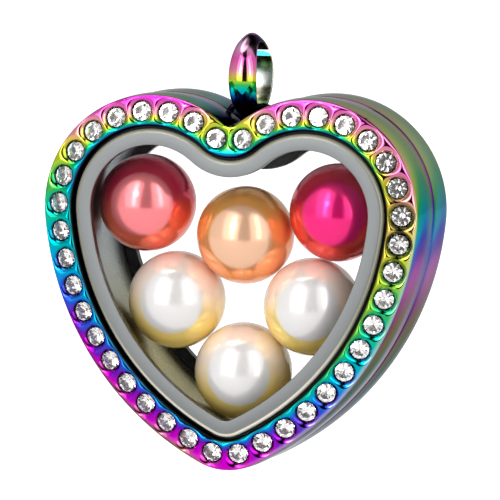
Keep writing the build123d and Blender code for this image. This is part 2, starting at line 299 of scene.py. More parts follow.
SIDE_X, SIDE_Z = side_centre()
notch_end = math.atan2(LOBE_Z - NOTCH_Z, LOBE_SPREAD)
side_start = math.atan2(LOBE_Z - SIDE_Z, LOBE_SPREAD - SIDE_X)
side_end = math.atan2(TIP_Z - SIDE_Z, -SIDE_X)
# centre x, centre z, radius, first angle, last angle, and 1 where outwards is away from the centre
ARCS = np.array(
    [
        (0.0, NOTCH_Z, NOTCH_RADIUS, -math.pi / 2, notch_end, -1.0),
        (LOBE_SPREAD, LOBE_Z, LOBE_RADIUS, notch_end + math.pi, side_start, 1.0),
        (SIDE_X, SIDE_Z, SIDE_RADIUS, side_start, side_end, 1.0),
        (0.0, TIP_Z, TIP_RADIUS, side_end, -math.pi / 2, 1.0),
    ]
)
ARC_ENDS = np.cumsum(ARCS[:, 2] * abs(ARCS[:, 4] - ARCS[:, 3]))
HALF = ARC_ENDS[-1]
print("half the heart line is", round(HALF, 2), "mm")


# %% The line itself, and profiles carried along it
def heart_line(run):
    """x, z and the outward direction at a distance run from the notch, down the right side and up
    the left. On each arc x = cx + r cos a and z = cz + r sin a, and a grows evenly with run."""
    run = np.mod(np.asarray(run, float), 2 * HALF)
    left = run > HALF
    run = np.where(left, 2 * HALF - run, run)
    k = np.minimum(np.searchsorted(ARC_ENDS, run), len(ARCS) - 1)
    cx, cz, r, a, b, out = np.moveaxis(ARCS[k], -1, 0)
    done = (run - np.concatenate([[0.0], ARC_ENDS])[k]) / (r * abs(b - a))
    turn = a + (b - a) * done
    side = np.where(left, -1.0, 1.0)
    x, z = side * (cx + r * np.cos(turn)), cz + r * np.sin(turn)
    return x, z, side * out * np.cos(turn), out * np.sin(turn)


def carried(profile, runs):
    """A grid of points: the profile (out, depth) at every run, at line + out * outwards."""
    x, z, ox, oz = (v[:, None] for v in heart_line(runs))
    out, depth = profile.T
    return np.stack([x + out * ox, np.broadcast_to(depth, (len(runs), len(out))), z + out * oz], -1)


print("half way down, the line is", round(float(heart_line([HALF / 2])[0][0]), 2), "mm out")


# %% Profiles and grids
def corner_arc(before, here, after, steps):
    """Points of a corner's arc: centre + (first sin((1 - s) w) + last sin(s w)) / sin w, w being
    the arc's angle, with the centre at corner + inwards * r / sin h, h being half the corner's."""
    corner, radius = np.array(here[:2], float), here[2]
    to_before, to_after = np.array(before[:2]) - corner, np.array(after[:2]) - corner
    to_before, to_after = to_before / np.linalg.norm(to_before), to_after / np.linalg.norm(to_after)
    half = math.acos(np.clip(to_before @ to_after, -1, 1)) / 2
    inwards = (to_before + to_after) / np.linalg.norm(to_before + to_after)
    centre = corner + inwards * radius / math.sin(half)
    first = corner + to_before * radius / math.tan(half) - centre
    last = corner + to_after * radius / math.tan(half) - centre
    angle = math.acos(np.clip(first @ last / radius**2, -1, 1))
    share = np.linspace(0, 1, steps + 1)[:, None]
    turned = first * np.sin((1 - share) * angle) + last * np.sin(share * angle)
    return centre + turned / math.sin(angle)


def rounded(corners, steps=8):
    """The open line through (out, depth, radius) corners, with an arc at each inner corner."""
    line = [[corners[0][:2]]]
    for before, here, after in zip(corners[:-2], corners[1:-1], corners[2:]):
        line.append(corner_arc(before, here, after, steps) if here[2] else [here[:2]])
    line.append([corners[-1][:2]])
    return np.concatenate(line).astype(float)


def refined(section, low, high, step):
    """The section with every run between two depths divided evenly into parts of at most step."""
    line = [section[:1]]
    for one, two in zip(section[:-1], section[1:]):
        steep = abs(two - one)[1] > abs(two - one)[0]
        inside = low <= min(one[1], two[1]) and max(one[1], two[1]) <= high and steep
        parts = max(1, math.ceil(np.linalg.norm(two - one) / step)) if inside else 1
        line.append(one + (two - one) * np.linspace(0, 1, parts + 1)[1:, None])
    return np.concatenate(line)


def grid_faces(rows, columns, close_rows=True, close_columns=True):
    """Four-cornered faces between neighbours of a rows x columns grid of points."""
    row, column = np.arange(rows - (not close_rows)), np.arange(columns - (not close_columns))
    i, j = np.meshgrid(row, column, indexing="ij")
    ahead, beside = (i + 1) % rows, (j + 1) % columns
    corners = (i * columns + j, i * columns + beside, ahead * columns + beside, ahead * columns + j)
    return np.stack(corners, axis=-1).reshape(-1, 4)


def smooth(value, low, high):
    """0 below low, 1 above high and a smooth step s * s * (3 - 2 s) between."""
    s = np.clip((value - low) / (high - low), 0, 1)
    return s * s * (3 - 2 * s)


def bell(value, middle, width):
    """1 at the middle and less to either side: exp(-((value - middle) / width)^2)."""
    return np.exp(-(((value - middle) / width) ** 2))


print("a rounded square corner:", rounded([(0, 0, 0), (1, 0, 0.5), (1, 1, 0)], 2).round(2).tolist())

# %% [markdown]
# ## The rainbow film
#
# The colours come from a thin oxide film: where it gets thicker they run through pink, yellow,
# green, blue and violet and start again. A spectrum picture could be wrapped on, but the film
# follows the shape, so each surface carries one number, the film's thickness in such rounds,
# and one ramp of colours reads it.

# %% Where a point lies on the heart
LOBE_TOP = LOBE_Z + LOBE_RADIUS + RIM_OUT
HEART_TIP = TIP_LOW - RIM_OUT
HALF_WIDTH = 15.0
UPPER_PART = 0.4


def down_heart(points):
    """0 at the top of the lobes and 1 at the tip."""
    return (LOBE_TOP - points[..., 2]) / (LOBE_TOP - HEART_TIP)


def low_left(points):
    """1 on the lower left side, 0 on the right and above."""
    return smooth(-points[..., 0], 0.5, 4.0) * smooth(down_heart(points), 0.5, 0.75)


print("the heart is", round(LOBE_TOP - HEART_TIP, 2), "mm high")

# %% The film's thickness on the face, in rounds of colour
# at the top, growing down the heart and to its left
TOP_ROUNDS, DOWN_ROUNDS, LEFT_ROUNDS = 0.02, 0.85, 0.14
# on the inner side, more of it on the left, and on the outer side
INNER_ROUNDS, INNER_LEFT_ROUNDS, OUTER_ROUNDS = 0.05, 0.12, 0.04
# on the inner lip where outwards points up and where it points down, and on the outer lip
LIP_UP_ROUNDS, LIP_DOWN_ROUNDS, EDGE_UP_ROUNDS, EDGE_LOW_ROUNDS = 0.60, 0.40, 0.13, 0.32
NOTCH_ROUNDS, NOTCH_WIDTH = 0.25, 2.2


def face_rounds(points, out, up):
    """A base that grows down the heart, to its left and in the notch, with more on the inner lip,
    where it follows how far outwards points up, and a change along the outer lip."""
    down = down_heart(points)
    left = -points[..., 0] / HALF_WIDTH * smooth(down, 0.02, 0.22)
    inner, outer = np.clip(-out / RIM_IN, 0, 1), np.clip(out / RIM_OUT, 0, 1)
    base = TOP_ROUNDS + DOWN_ROUNDS * down + LEFT_ROUNDS * left + OUTER_ROUNDS * outer
    base = base + (INNER_ROUNDS + INNER_LEFT_ROUNDS * np.clip(left, 0, 1)) * inner
    notch = NOTCH_ROUNDS * bell(points[..., 0], 0, NOTCH_WIDTH) * (down < UPPER_PART) * (1 - inner)
    lip = np.where(up > 0, LIP_UP_ROUNDS * up * inner**2, LIP_DOWN_ROUNDS * up * inner**1.5)
    edge = EDGE_LOW_ROUNDS * outer**3 * low_left(points)
    return base + notch + lip + edge - EDGE_UP_ROUNDS * np.maximum(up, 0) * outer


for name, out in (("inner lip", -RIM_IN), ("seats", 0.0), ("outer lip", RIM_OUT)):
    rounds = face_rounds(np.array([LOBE_SPREAD, 0.0, LOBE_TOP]), out, 1.0)
    print(name, "at the top of the right lobe:", round(float(rounds), 2), "rounds")


# %% The film's thickness on the flank
FLANK_DOWN = (0.0, 0.17, 0.25, 0.31, 0.38, 0.44, 0.51, 0.57, 0.62, 0.67, 0.73, 0.82, 1.0)
FLANK_ROUNDS = (0.28, 0.37, 0.49, 0.60, 0.76, 0.90, 1.03, 1.16, 1.25, 1.32, 1.40, 1.49, 1.60)
SEAM_ROUNDS = (0.98, 0.94, 0.84, 0.70, 0.66, 0.66, 0.70, 0.76, 0.80, 0.84, 0.88, 0.92, 0.95)
BESIDE_ROUNDS, BESIDE_X, BESIDE_WIDTH = 0.24, -1.5, 4.5
HALF_EDGE_ROUNDS = 0.22


def flank_rounds(points, bulge, seam):
    """The rounds follow the height by FLANK_ROUNDS, with more beside the notch, fewer along both
    edges of each half, and those of SEAM_ROUNDS in the seam."""
    down = down_heart(points)
    beside = BESIDE_ROUNDS * bell(points[..., 0], BESIDE_X, BESIDE_WIDTH) * (down < UPPER_PART)
    side = np.interp(down, FLANK_DOWN, FLANK_ROUNDS) + beside - HALF_EDGE_ROUNDS * (1 - bulge)
    return side + (np.interp(down, FLANK_DOWN, SEAM_ROUNDS) - side) * seam


def film_rounds(points, out, up, flank, bulge, seam=0.0):
    """The face's rounds where flank is 0, the flank's where it is 1."""
    face = face_rounds(points, out, up)
    return face + (flank_rounds(points, bulge, seam) - face) * flank


for place, x, z in (("left lobe", -LOBE_SPREAD, LOBE_TOP), ("right side", 14.0, LOBE_Z)):
    print(place, "film:", round(float(film_rounds(np.array([x, 0.0, z]), 0.0, 1.0, 0.0, 1.0)), 2))


# %% Nodes that the finishes share
def object_place(tree):
    """The three coordinates of a point of the piece, in metres."""
    split = tree.nodes.new("ShaderNodeSeparateXYZ")
    tree.links.new(tree.nodes.new("ShaderNodeTexCoord").outputs["Object"], split.inputs[0])
    return split.outputs


def object_noise(tree, scale, detail=2.0):
    """Noise over the object's own coordinates, scale in bumps a metre."""
    place = tree.nodes.new("ShaderNodeTexCoord")
    noise = tree.nodes.new("ShaderNodeTexNoise")
    noise.inputs["Scale"].default_value = scale
    noise.inputs["Detail"].default_value = detail
    tree.links.new(place.outputs["Object"], noise.inputs["Vector"])
    return noise.outputs["Fac"]


def attribute(tree, name):
    """The number that the piece's points carry under that name."""
    node = tree.nodes.new("ShaderNodeAttribute")
    node.attribute_name = name
    return node.outputs["Fac"]


def blend_colour(tree, share, one, two):
    """one where share is 0, two where it is 1."""
    mix = tree.nodes.new("ShaderNodeMix")
    mix.data_type = "RGBA"
    tree.links.new(share, mix.inputs["Factor"])
    feed(tree, mix.inputs["A"], one)
    feed(tree, mix.inputs["B"], two)
    return mix.outputs["Result"]


print("finish helpers ready:", object_noise.__name__, attribute.__name__, blend_colour.__name__)

# %% The ramp of colours, and the steel that shows it
FILM_COLOURS = [
    (0.00, (0.71, 0.08, 0.42)),
    (0.09, (0.74, 0.25, 0.34)),
    (0.20, (0.70, 0.54, 0.06)),
    (0.30, (0.36, 0.58, 0.03)),
    (0.40, (0.03, 0.45, 0.10)),
    (0.50, (0.00, 0.46, 0.36)),
    (0.59, (0.00, 0.36, 0.62)),
    (0.68, (0.02, 0.08, 0.62)),
    (0.78, (0.14, 0.01, 0.46)),
    (0.90, (0.62, 0.00, 0.56)),
    (1.00, (0.71, 0.08, 0.42)),
]
# the second colour, near black, is painted shade
BARE_STEEL, PAINTED_SHADE_COLOUR = (0.60, 0.62, 0.60), (0.012, 0.010, 0.016)
FILM_CLOUDS, GLOSS_GRAIN, BARE_ROUGHER = 260, 1500, 0.22


def film_ramp(tree, rounds):
    """The colour at the fraction of the film's rounds."""
    ramp = tree.nodes.new("ShaderNodeValToRGB")
    stops = ramp.color_ramp.elements
    stops.remove(stops[1])
    stops[0].color = (*FILM_COLOURS[0][1], 1)
    for place, colour in FILM_COLOURS[1:]:
        stops.new(place).color = (*colour, 1)
    tree.links.new(calculate(tree, "FRACT", rounds), ramp.inputs["Fac"])
    print("film colours:", len(stops))
    return ramp.outputs["Color"]


def rainbow_steel():
    """Mirror steel whose colour is the film's, with slight clouds in its thickness, greyer and
    rougher where the steel is bare, and painted near black as shade where the points carry painted
    shade."""
    material, shader, tree = new_material("rainbow_film")
    clouds = spread(tree, object_noise(tree, FILM_CLOUDS), -0.05, 0.05)
    film = film_ramp(tree, calculate(tree, "ADD", attribute(tree, "film"), clouds))
    worn = blend_colour(tree, attribute(tree, "bare"), film, BARE_STEEL)
    # painted shade: the colour goes to near black where the points carry painted shade
    painted_dark = blend_colour(tree, attribute(tree, "painted_shade"), worn, PAINTED_SHADE_COLOUR)
    tree.links.new(painted_dark, shader.inputs["Base Color"])
    shader.inputs["Metallic"].default_value = 1.0
    shader.inputs["Specular Tint"].default_value = (0.38, 0.38, 0.44, 1)
    grain = spread(tree, object_noise(tree, GLOSS_GRAIN), 0.05, 0.11)
    rough = calculate(tree, "MULTIPLY_ADD", attribute(tree, "bare"), BARE_ROUGHER, grain)
    tree.links.new(rough, shader.inputs["Roughness"])
    return material


RAINBOW = rainbow_steel()

# %% [markdown]
# ## Pieces made of shells
#
# A surface is worked out as a grid of points, and the real pieces are several such surfaces in one:
# a wall, forty seats, a hinge barrel. They could be united with booleans, which cut new ragged
# edges. Here a shell is its points, blocks of faces and a finish for each point, shells are
# listed one after the other, and only points that meet are welded.

# %% A piece from a shell
SHARP_ANGLE = math.radians(38)
WELD = 2e-6


def make_piece(name, shell, materials, body, stands_for, kinds=None):
    """A shaded piece in the shared frame: points in mm are welded where they meet, faces turned
    outwards, and the finish (film, painted shade, bare) kept as attributes of the points. kinds
    gives the number of each face's material."""
    points, blocks, finish = shell
    mesh = bpy.data.meshes.new(name)
    faces = [face for block in blocks for face in block.tolist()]
    mesh.from_pydata((points * MM).tolist(), [], faces)
    for column, label in enumerate(("film", "painted_shade", "bare")):
        layer = mesh.attributes.new(label, "FLOAT", "POINT")
        layer.data.foreach_set("value", np.ascontiguousarray(finish[:, column], np.float32))
    for material in materials:
        mesh.materials.append(material)
    if kinds is not None:
        mesh.polygons.foreach_set("material_index", kinds.astype(np.int32))
    shape = bmesh.new()
    shape.from_mesh(mesh)
    bmesh.ops.remove_doubles(shape, verts=shape.verts, dist=WELD)
    bmesh.ops.recalc_face_normals(shape, faces=shape.faces)
    shape.to_mesh(mesh)
    shape.free()
    mesh.shade_smooth()
    mesh.set_sharp_from_angle(angle=SHARP_ANGLE)
    piece = bpy.data.objects.new(name, mesh)
    bpy.context.scene.collection.objects.link(piece)
    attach(piece, body)
    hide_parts(stands_for)
    print(name, len(mesh.vertices), "points,", len(mesh.polygons), "faces")


def finish_of(film, painted_shade=0.0, bare=0.0):
    """One row (film, painted shade, bare) for each point."""
    film = np.asarray(film, float)
    return np.stack([np.broadcast_to(v, film.shape).ravel() for v in (film, painted_shade, bare)], -1)


def join(*shells):
    """Several shells (points, blocks of faces, finish) as one."""
    points, blocks, finish = zip(*shells)
    starts = np.cumsum([0] + [len(part) for part in points])
    moved = [block + start for start, part in zip(starts, blocks) for block in part]
    return np.concatenate(points), moved, np.concatenate(finish)


print("film, recess, bare of two points:", finish_of([0.2, 0.4], 0.0, 0.1).tolist())

# %% The finish over the heart
# the seam's dark is painted shade in the gap between the two halves
SEAM_DARK = 0.75
SEAT_ROUNDS = 0.10
# the deepest painted dark: painted dark reflections in a seat's foot and the upper right seats,
# painted shade low on the flank and on the lower left edge
FOOT_DARK, RIGHT_SEAT_DARK, FLANK_DARK, EDGE_DARK = 0.95, 0.94, 0.60, 0.70
# how bare the flank is everywhere, near its top, on the back half and half way down
BARE_FLANK, BARE_TOP, BARE_BACK, BARE_MIDDLE = 0.05, 0.27, 0.12, 0.26
BARE_LIP, BARE_LOWER_LIP = 0.12, 0.30


def dark_over(points, out, down, flank, painted_shade, sunk):
    """The darkest painted shade and painted dark reflection of: the section's painted shade, less
    in the seam half way down, a seat's foot, the flank in the notch and low down, the lower left
    edge, and the seats on the upper right."""
    seam = flank * np.clip(painted_shade / SEAM_DARK, 0, 1)
    painted_shade = painted_shade * (1 - 0.6 * seam * bell(down, 0.42, 0.14))
    # painted shade in the notch, low on the flank and on the lower left edge; below, painted dark
    # reflections in the seats
    notch = flank * (down < UPPER_PART) * (1 - smooth(abs(points[..., 0]), 0.8, 3.2))
    shade = FLANK_DARK * flank * smooth(down, 0.42, 0.62)
    shade = shade + EDGE_DARK * (1 - flank) * smooth(out, 0.72, 0.98) * low_left(points)
    right = smooth(points[..., 0], 7, 11) * bell(down, 0.35, 0.13)
    seats = RIGHT_SEAT_DARK * right * smooth(sunk, 0.10, 0.17)
    foot = np.maximum(FOOT_DARK * smooth(sunk, 0.45, 0.9), seats)
    return np.maximum(np.maximum(painted_shade, foot), np.maximum(notch, shade))


def bare_over(points, out, down, flank):
    """Bare steel: more towards the top of the flank, on the back half and half way down, and on
    the outer lip of the right side."""
    worn = BARE_FLANK + BARE_TOP * (1 - smooth(down, 0.12, 0.28)) + BARE_BACK * (points[..., 1] > 0)
    worn = flank * (worn + BARE_MIDDLE * bell(down, 0.48, 0.09))
    lip = (1 - flank) * smooth(out, 0.80, 1.02) * smooth(points[..., 0], 0, 6)
    return np.maximum(worn, (BARE_LIP + BARE_LOWER_LIP * smooth(down, 0.22, 0.36)) * lip)


def finish_over(points, out, up, marks, sunk=0.0):
    """The finish of carried points from their section's marks: how far they belong to the flank,
    how much painted shade they carry, and the bulge of their half. A seat has a few more rounds."""
    flank, painted_shade, bulge = np.moveaxis(marks, -1, 0)
    down = down_heart(points)
    seam = flank * np.clip(painted_shade / SEAM_DARK, 0, 1)
    film = film_rounds(points, out, up, flank, bulge, seam) + SEAT_ROUNDS * sunk
    dark = dark_over(points, out, down, flank, painted_shade, sunk)
    bare = bare_over(points, out, down, flank)
    return finish_of(film, np.broadcast_to(dark, film.shape), np.broadcast_to(bare, film.shape))


for place, down in (("top", 0.0), ("middle", 0.48), ("tip", 1.0)):
    right_flank = np.array([14.0, -3.0, LOBE_TOP - down * (LOBE_TOP - HEART_TIP)])
    worn = float(bare_over(right_flank, RIM_OUT, down, 1.0))
    print("bare steel on the right flank's", place, round(worn, 2))

# %% [markdown]
# ## The front half of the case
#
# On the real locket the rim was turned to shape and a burr then drilled a flared seat for each
# crystal, and polishing rounded the ridges left between the seats. Cutting forty cones from a
# mesh with booleans leaves ragged edges that a mirror finish shows. Here the rim is forty cells,
# each a fan of rings from the seat's circle out to the cell's border, and the height of every
# point is the lower of the turned profile and the nearest cones, blended softly.

# %% Depths of the front half, in millimetres
FACE_SLOPE = math.radians(12.0)
SIDE_BULGE, BULGE_SHARE = 0.15, 0.4
FRONT_DEPTH, INNER_LIP, OUTER_LIP = 5.32, 0.4, 0.34
SEAM_GAP, SEAM_ROUND = 0.1, 0.2
SEAM_FINE, SEAM_STEP = 1.5, 0.12
LOOP_WIRE, LOOP_FROM_SEAM, FIT_GAP = 0.5, 0.3, 0.03
SEAM_BACK = -LOOP_WIRE / 2 - LOOP_FROM_SEAM
SEAM_FRONT = SEAM_BACK - SEAM_GAP
FACE_Y = SEAM_FRONT - FRONT_DEPTH
OUTER_FACE_Y = FACE_Y + (RIM_IN + RIM_OUT) * math.tan(FACE_SLOPE)
STONE_Y = FACE_Y + RIM_IN * math.tan(FACE_SLOPE)
print("front face at y", round(FACE_Y, 2), "and the seam at", SEAM_FRONT, "to", SEAM_BACK)


# %% The front half's section
def side_wall(y_one, y_two):
    """The middle corner of a half's side, which bulges a little, and its wide rounding."""
    half = abs(y_two - y_one) / 2
    lean = math.atan2(SIDE_BULGE, half)
    return RIM_OUT + SIDE_BULGE, (y_one + y_two) / 2, BULGE_SHARE * half / math.tan(lean)


def section_marks(section, flank, painted_shade, y_one, y_two):
    """For each point of a section: how far the film is the flank's, how much painted shade it
    carries, and the bulge = sin(pi * share of the way from one edge of the half to the other)^0.7."""
    share = np.clip((section[:, 1] - y_one) / (y_two - y_one), 0, 1)
    return np.stack([flank * (section[:, 0] > 0), painted_shade, np.sin(np.pi * share) ** 0.7], -1)


front_corners = [
    (-RIM_IN, SEAM_FRONT, 0),
    (-RIM_IN, FACE_Y, INNER_LIP),
    (RIM_OUT, OUTER_FACE_Y, OUTER_LIP),
    side_wall(OUTER_FACE_Y, SEAM_FRONT),
    (RIM_OUT, SEAM_FRONT, SEAM_ROUND),
    (-RIM_IN, SEAM_FRONT, 0),
]
front_section = rounded(front_corners, 10)
front_section = refined(front_section, SEAM_FRONT - SEAM_FINE, SEAM_FRONT, SEAM_STEP)
# the two lips with the face between them, first and last point, and where the inner wall ends
LIP_START, LIP_END, LIP_INNER = 1, 22, 12
number = np.arange(len(front_section))
# painted shade on the inner wall below the inner lip, and in the seam at the back of the front half
inner_wall = smooth(front_section[:, 1], FACE_Y + 0.06, FACE_Y + 0.24) * (number < LIP_INNER)
front_seam = SEAM_DARK * smooth(front_section[:, 1], SEAM_FRONT - 0.42, SEAM_FRONT - 0.24)
front_marks = section_marks(
    front_section,
    smooth(number, LIP_END - 4, LIP_END),
    np.maximum(inner_wall, front_seam),
    OUTER_FACE_Y,
    SEAM_FRONT,
)
print("front section:", len(front_section), "points")

# %% The seats' cones
STONES = 40
PITCH = 2 * HALF / STONES
SEAT_RADIUS, SEAT_MOUTH, SEAT_DEEP = 0.76, 1.02, 0.34
SEAT_SLOPE = SEAT_DEEP / (SEAT_MOUTH - SEAT_RADIUS)
RIDGE_SOFT, EDGE_SOFT = 0.20, 0.34


def lower(one, two, soft):
    """The lower of two heights with a rounded corner between: min - (soft - gap)^2 / (4 soft)."""
    return np.minimum(one, two) - np.maximum(soft - abs(one - two), 0) ** 2 / (4 * soft)


def face_frame(run):
    """Point on the face over the heart line, along, across and outward unit vectors there."""
    x, z, ox, oz = heart_line(run)
    zero, level, rise = np.zeros_like(x), math.cos(FACE_SLOPE), math.sin(FACE_SLOPE)
    point = np.stack([x, zero + STONE_Y, z], -1)
    along = np.stack([oz, zero, -ox], -1)
    across = np.stack([ox * level, zero + rise, oz * level], -1)
    outward = np.stack([ox * rise, zero - level, oz * rise], -1)
    return point, along, across, outward


def rim_height(run, base, foot):
    """The face's height: the turned profile's, or the cone's of the nearest seats where lower. A
    cone's height is its foot's, plus (distance from its axis - seat radius) * seat slope."""
    nearest = np.floor(run / PITCH) + 0.5
    cones = []
    for step in (-1, 0, 1):
        centre, _, _, axis = face_frame((nearest + step) * PITCH)
        reach = foot - centre
        over = (reach * axis).sum(-1)
        radius = np.sqrt(np.maximum((reach**2).sum(-1) - over**2, 0))
        cones.append(over - SEAT_DEEP + (radius - SEAT_RADIUS) * SEAT_SLOPE)
    ridge = lower(lower(cones[0], cones[1], RIDGE_SOFT), cones[2], RIDGE_SOFT)
    return lower(base, ridge, EDGE_SOFT)


print("a crystal every", round(PITCH, 3), "mm")

# %% The plan of one cell
ALONG_STEPS, ACROSS_STEPS, RINGS, RING_GROWTH = 14, 20, 11, 1.15
lips = front_section[LIP_START : LIP_END + 1]
lip_marks = front_marks[LIP_START : LIP_END + 1]
lip_run = np.concatenate([[0], np.cumsum(np.linalg.norm(np.diff(lips, axis=0), axis=1))])


def lip_point(across_run):
    """(out, depth) at a distance across the lips and the face, its height over the face, and the
    section's marks there."""
    out, depth, *marks = (np.interp(across_run, lip_run, v) for v in (*lips.T, *lip_marks.T))
    offset = np.stack([out + RIM_IN, depth - FACE_Y], -1)
    height = offset @ np.array([math.sin(FACE_SLOPE), -math.cos(FACE_SLOPE)])
    return out, depth, height, np.stack(marks, -1)


def cell_border():
    """Points (along, across_run) round a cell, counter-clockwise from its inner start."""
    a = np.linspace(-PITCH / 2, PITCH / 2, ALONG_STEPS + 1)
    c = np.linspace(0, lip_run[-1], ACROSS_STEPS + 1)
    low = np.stack([a[:-1], np.zeros(ALONG_STEPS)], -1)
    far = np.stack([np.full(ACROSS_STEPS, a[-1]), c[:-1]], -1)
    high = np.stack([a[:0:-1], np.full(ALONG_STEPS, c[-1])], -1)
    near = np.stack([np.full(ACROSS_STEPS, a[0]), c[:0:-1]], -1)
    return np.concatenate([low, far, high, near])


border = cell_border()
spoke_count = len(border)
middle_run = np.interp(0.0, lips[:, 0], lip_run)
spoke_turn = np.arctan2(border[:, 1] - middle_run, border[:, 0])
seat_circle = SEAT_RADIUS * np.stack([np.cos(spoke_turn), np.sin(spoke_turn)], -1)
seat_circle[:, 1] += middle_run
growth = np.linspace(0, 1, RINGS + 1)[1:, None, None] ** RING_GROWTH
cell_plan = seat_circle + growth * (border - seat_circle)
cell_out, cell_depth, cell_base, cell_marks = lip_point(cell_plan[..., 1])
print("a cell has", RINGS, "rings of", spoke_count, "points")

# %% [markdown]
# ## The crystals' seats
#
# Behind each crystal a jeweller leaves a bright bowl lined with silver foil, which throws the light
# back through the facets. Small painted dark patches on the foil stand for the facets that mirror
# something dark. The bowl could be left out, but clear glass shows what is behind it. So each
# cell's rings go on inwards down to a closed point, with foil on them.

# %% One cell of the rim, and all forty
BOWL_RADIUS, BOWL_TOP, BOWL_SLOPE = 0.73, -0.44, 0.62 / 0.69
BOWL_SHARES = np.array([0.05, 0.35, 0.65, 0.94, 1.0])


def bowl_rings(run):
    """Rings of the bowl from its middle out, at centre + r * spoke + height * axis, with the height
    BOWL_TOP - (BOWL_RADIUS - r) * BOWL_SLOPE, then the seat's foot, and last the bowl's pole."""
    centre, along, across, axis = (v[0] for v in face_frame(np.array([run])))
    spokes = np.cos(spoke_turn)[:, None] * along + np.sin(spoke_turn)[:, None] * across
    radii = BOWL_RADIUS * BOWL_SHARES
    heights = BOWL_TOP - (BOWL_RADIUS - radii) * BOWL_SLOPE
    radii = np.append(radii, BOWL_RADIUS)
    heights = np.append(heights, -SEAT_DEEP + (BOWL_RADIUS - SEAT_RADIUS) * SEAT_SLOPE)
    rings = centre + radii[:, None, None] * spokes + heights[:, None, None] * axis
    return rings, centre + axis * (BOWL_TOP - BOWL_RADIUS * BOWL_SLOPE)


def face_rings(runs):
    """The cell's rings on the face, and how far each point is sunk under the turned profile."""
    x, z, ox, oz = heart_line(runs)
    surface = np.stack([x + cell_out * ox, cell_depth, z + cell_out * oz], -1)
    face_out = face_frame(runs)[3]
    height = rim_height(runs, cell_base, surface - cell_base[..., None] * face_out)
    rings = surface + (height - cell_base)[..., None] * face_out
    return rings, np.clip((cell_base - height) / SEAT_DEEP, 0, 1)


def rim_cell(stone):
    """One cell as a shell: the bowl's rings, the face's rings, and the bowl's pole."""
    run = (stone + 0.5) * PITCH
    runs = run + cell_plan[..., 0]
    bowl, pole = bowl_rings(run)
    face, sunk = face_rings(runs)
    rings, inside = np.concatenate([bowl, face]), (len(bowl), spoke_count)
    up = heart_line(np.concatenate([np.full(inside, run), runs]))[3]
    out = np.concatenate([np.broadcast_to(SEAT_RADIUS * np.sin(spoke_turn), inside), cell_out])
    marks = np.concatenate([np.zeros((*inside, 3)), cell_marks])
    finish = finish_over(rings, out, up, marks, np.concatenate([np.ones(inside), sunk]))
    spoke = np.arange(spoke_count)
    last = np.full(spoke_count, rings.shape[0] * spoke_count)
    fan = np.stack([last, spoke, (spoke + 1) % spoke_count], -1)
    blocks = [grid_faces(len(rings), spoke_count, close_rows=False), fan]
    points = np.concatenate([rings.reshape(-1, 3), pole[None]])
    return points, blocks, np.concatenate([finish, np.zeros((1, 3))])


cells = join(*(rim_cell(stone) for stone in range(STONES)))
foil_rows = np.arange(len(BOWL_SHARES) + RINGS) < len(BOWL_SHARES)
cell_kinds = np.concatenate([np.repeat(foil_rows, spoke_count), np.ones(spoke_count, bool)])
print("rim cells:", len(cells[0]), "points")

# %% The silver foil
# the second colour is a painted dark reflection for the crystals' dark facets
FOIL, FOIL_PAINTED_DARK = (0.97, 0.95, 0.95), (0.13, 0.09, 0.075)
FOIL_PAINTED_PATCHES, FOIL_GRAIN = 2600, 4000


def silver_foil():
    """Silver with small painted dark patches, painted reflections as narrow as the dark facets of a
    crystal.
    """
    material, shader, tree = new_material("silver_foil")
    # painted reflection: where the noise is high the foil is dark
    patches = step_of(tree, object_noise(tree, FOIL_PAINTED_PATCHES), 0.47, 0.55)
    tree.links.new(blend_colour(tree, patches, FOIL, FOIL_PAINTED_DARK), shader.inputs["Base Color"])
    shader.inputs["Metallic"].default_value = 1.0
    rough = spread(tree, object_noise(tree, FOIL_GRAIN), 0.06, 0.18)
    tree.links.new(rough, shader.inputs["Roughness"])
    return material


foil = silver_foil()
print("foil nodes:", len(foil.node_tree.nodes))

# %% [markdown]
# ## The hinge
#
# The two halves hang together on the left flank by three barrels on a pin, the middle one on the
# front half. A barrel could be a cylinder with a box for its tab, united. As one outline, circle
# and tab together, drawn up between two heights, it has no seam where the two meet.

# %% The side wall and the hinge barrels
CELL_RUNS = np.arange(STONES * ALONG_STEPS) * PITCH / ALONG_STEPS
BARREL, BARREL_HOLE, BARREL_OUT = 0.55, 0.35, 0.75
BARREL_EDGE, BARREL_BARE, TAB_BITE, HINGE_DROP = 0.05, 0.3, 0.5, 0.8
HINGE_X = -(LOBE_SPREAD + LOBE_RADIUS + RIM_OUT + BARREL_OUT)
HINGE_Y = (SEAM_FRONT + SEAM_BACK) / 2
HINGE_Z = LOBE_Z - HINGE_DROP
HINGE_HALF, MIDDLE_HALF, BARREL_GAP = 2.3, 0.8, 0.1


def shell_of(profile, marks, closed=True):
    """A carried profile as a shell, with points at every step of the cells."""
    points = carried(profile, CELL_RUNS)
    up = heart_line(CELL_RUNS)[3][:, None]
    finish = finish_over(points, profile[:, 0], up, marks[None])
    return points.reshape(-1, 3), [grid_faces(len(CELL_RUNS), len(profile), True, closed)], finish


def barrel_outline(side, seam):
    """The circle x = hx + r cos t, y = hy + side * r sin t, open on one side, and round its tab."""
    meet = math.asin(abs(seam - HINGE_Y) / BARREL)
    turn = np.linspace(math.pi / 2, 2 * math.pi + meet, 30)
    ring = np.stack([HINGE_X + BARREL * np.cos(turn), HINGE_Y + side * BARREL * np.sin(turn)], -1)
    tab_x, tab_y = HINGE_X + BARREL_OUT + TAB_BITE, HINGE_Y + side * BARREL
    low_edge = np.stack([np.linspace(ring[-1, 0], tab_x, 6)[1:], np.full(5, seam)], -1)
    end = np.stack([np.full(4, tab_x), np.linspace(seam, tab_y, 5)[1:]], -1)
    top_edge = np.stack([np.linspace(tab_x, HINGE_X, 8)[1:-1], np.full(6, tab_y)], -1)
    return np.concatenate([ring, low_edge, end, top_edge])


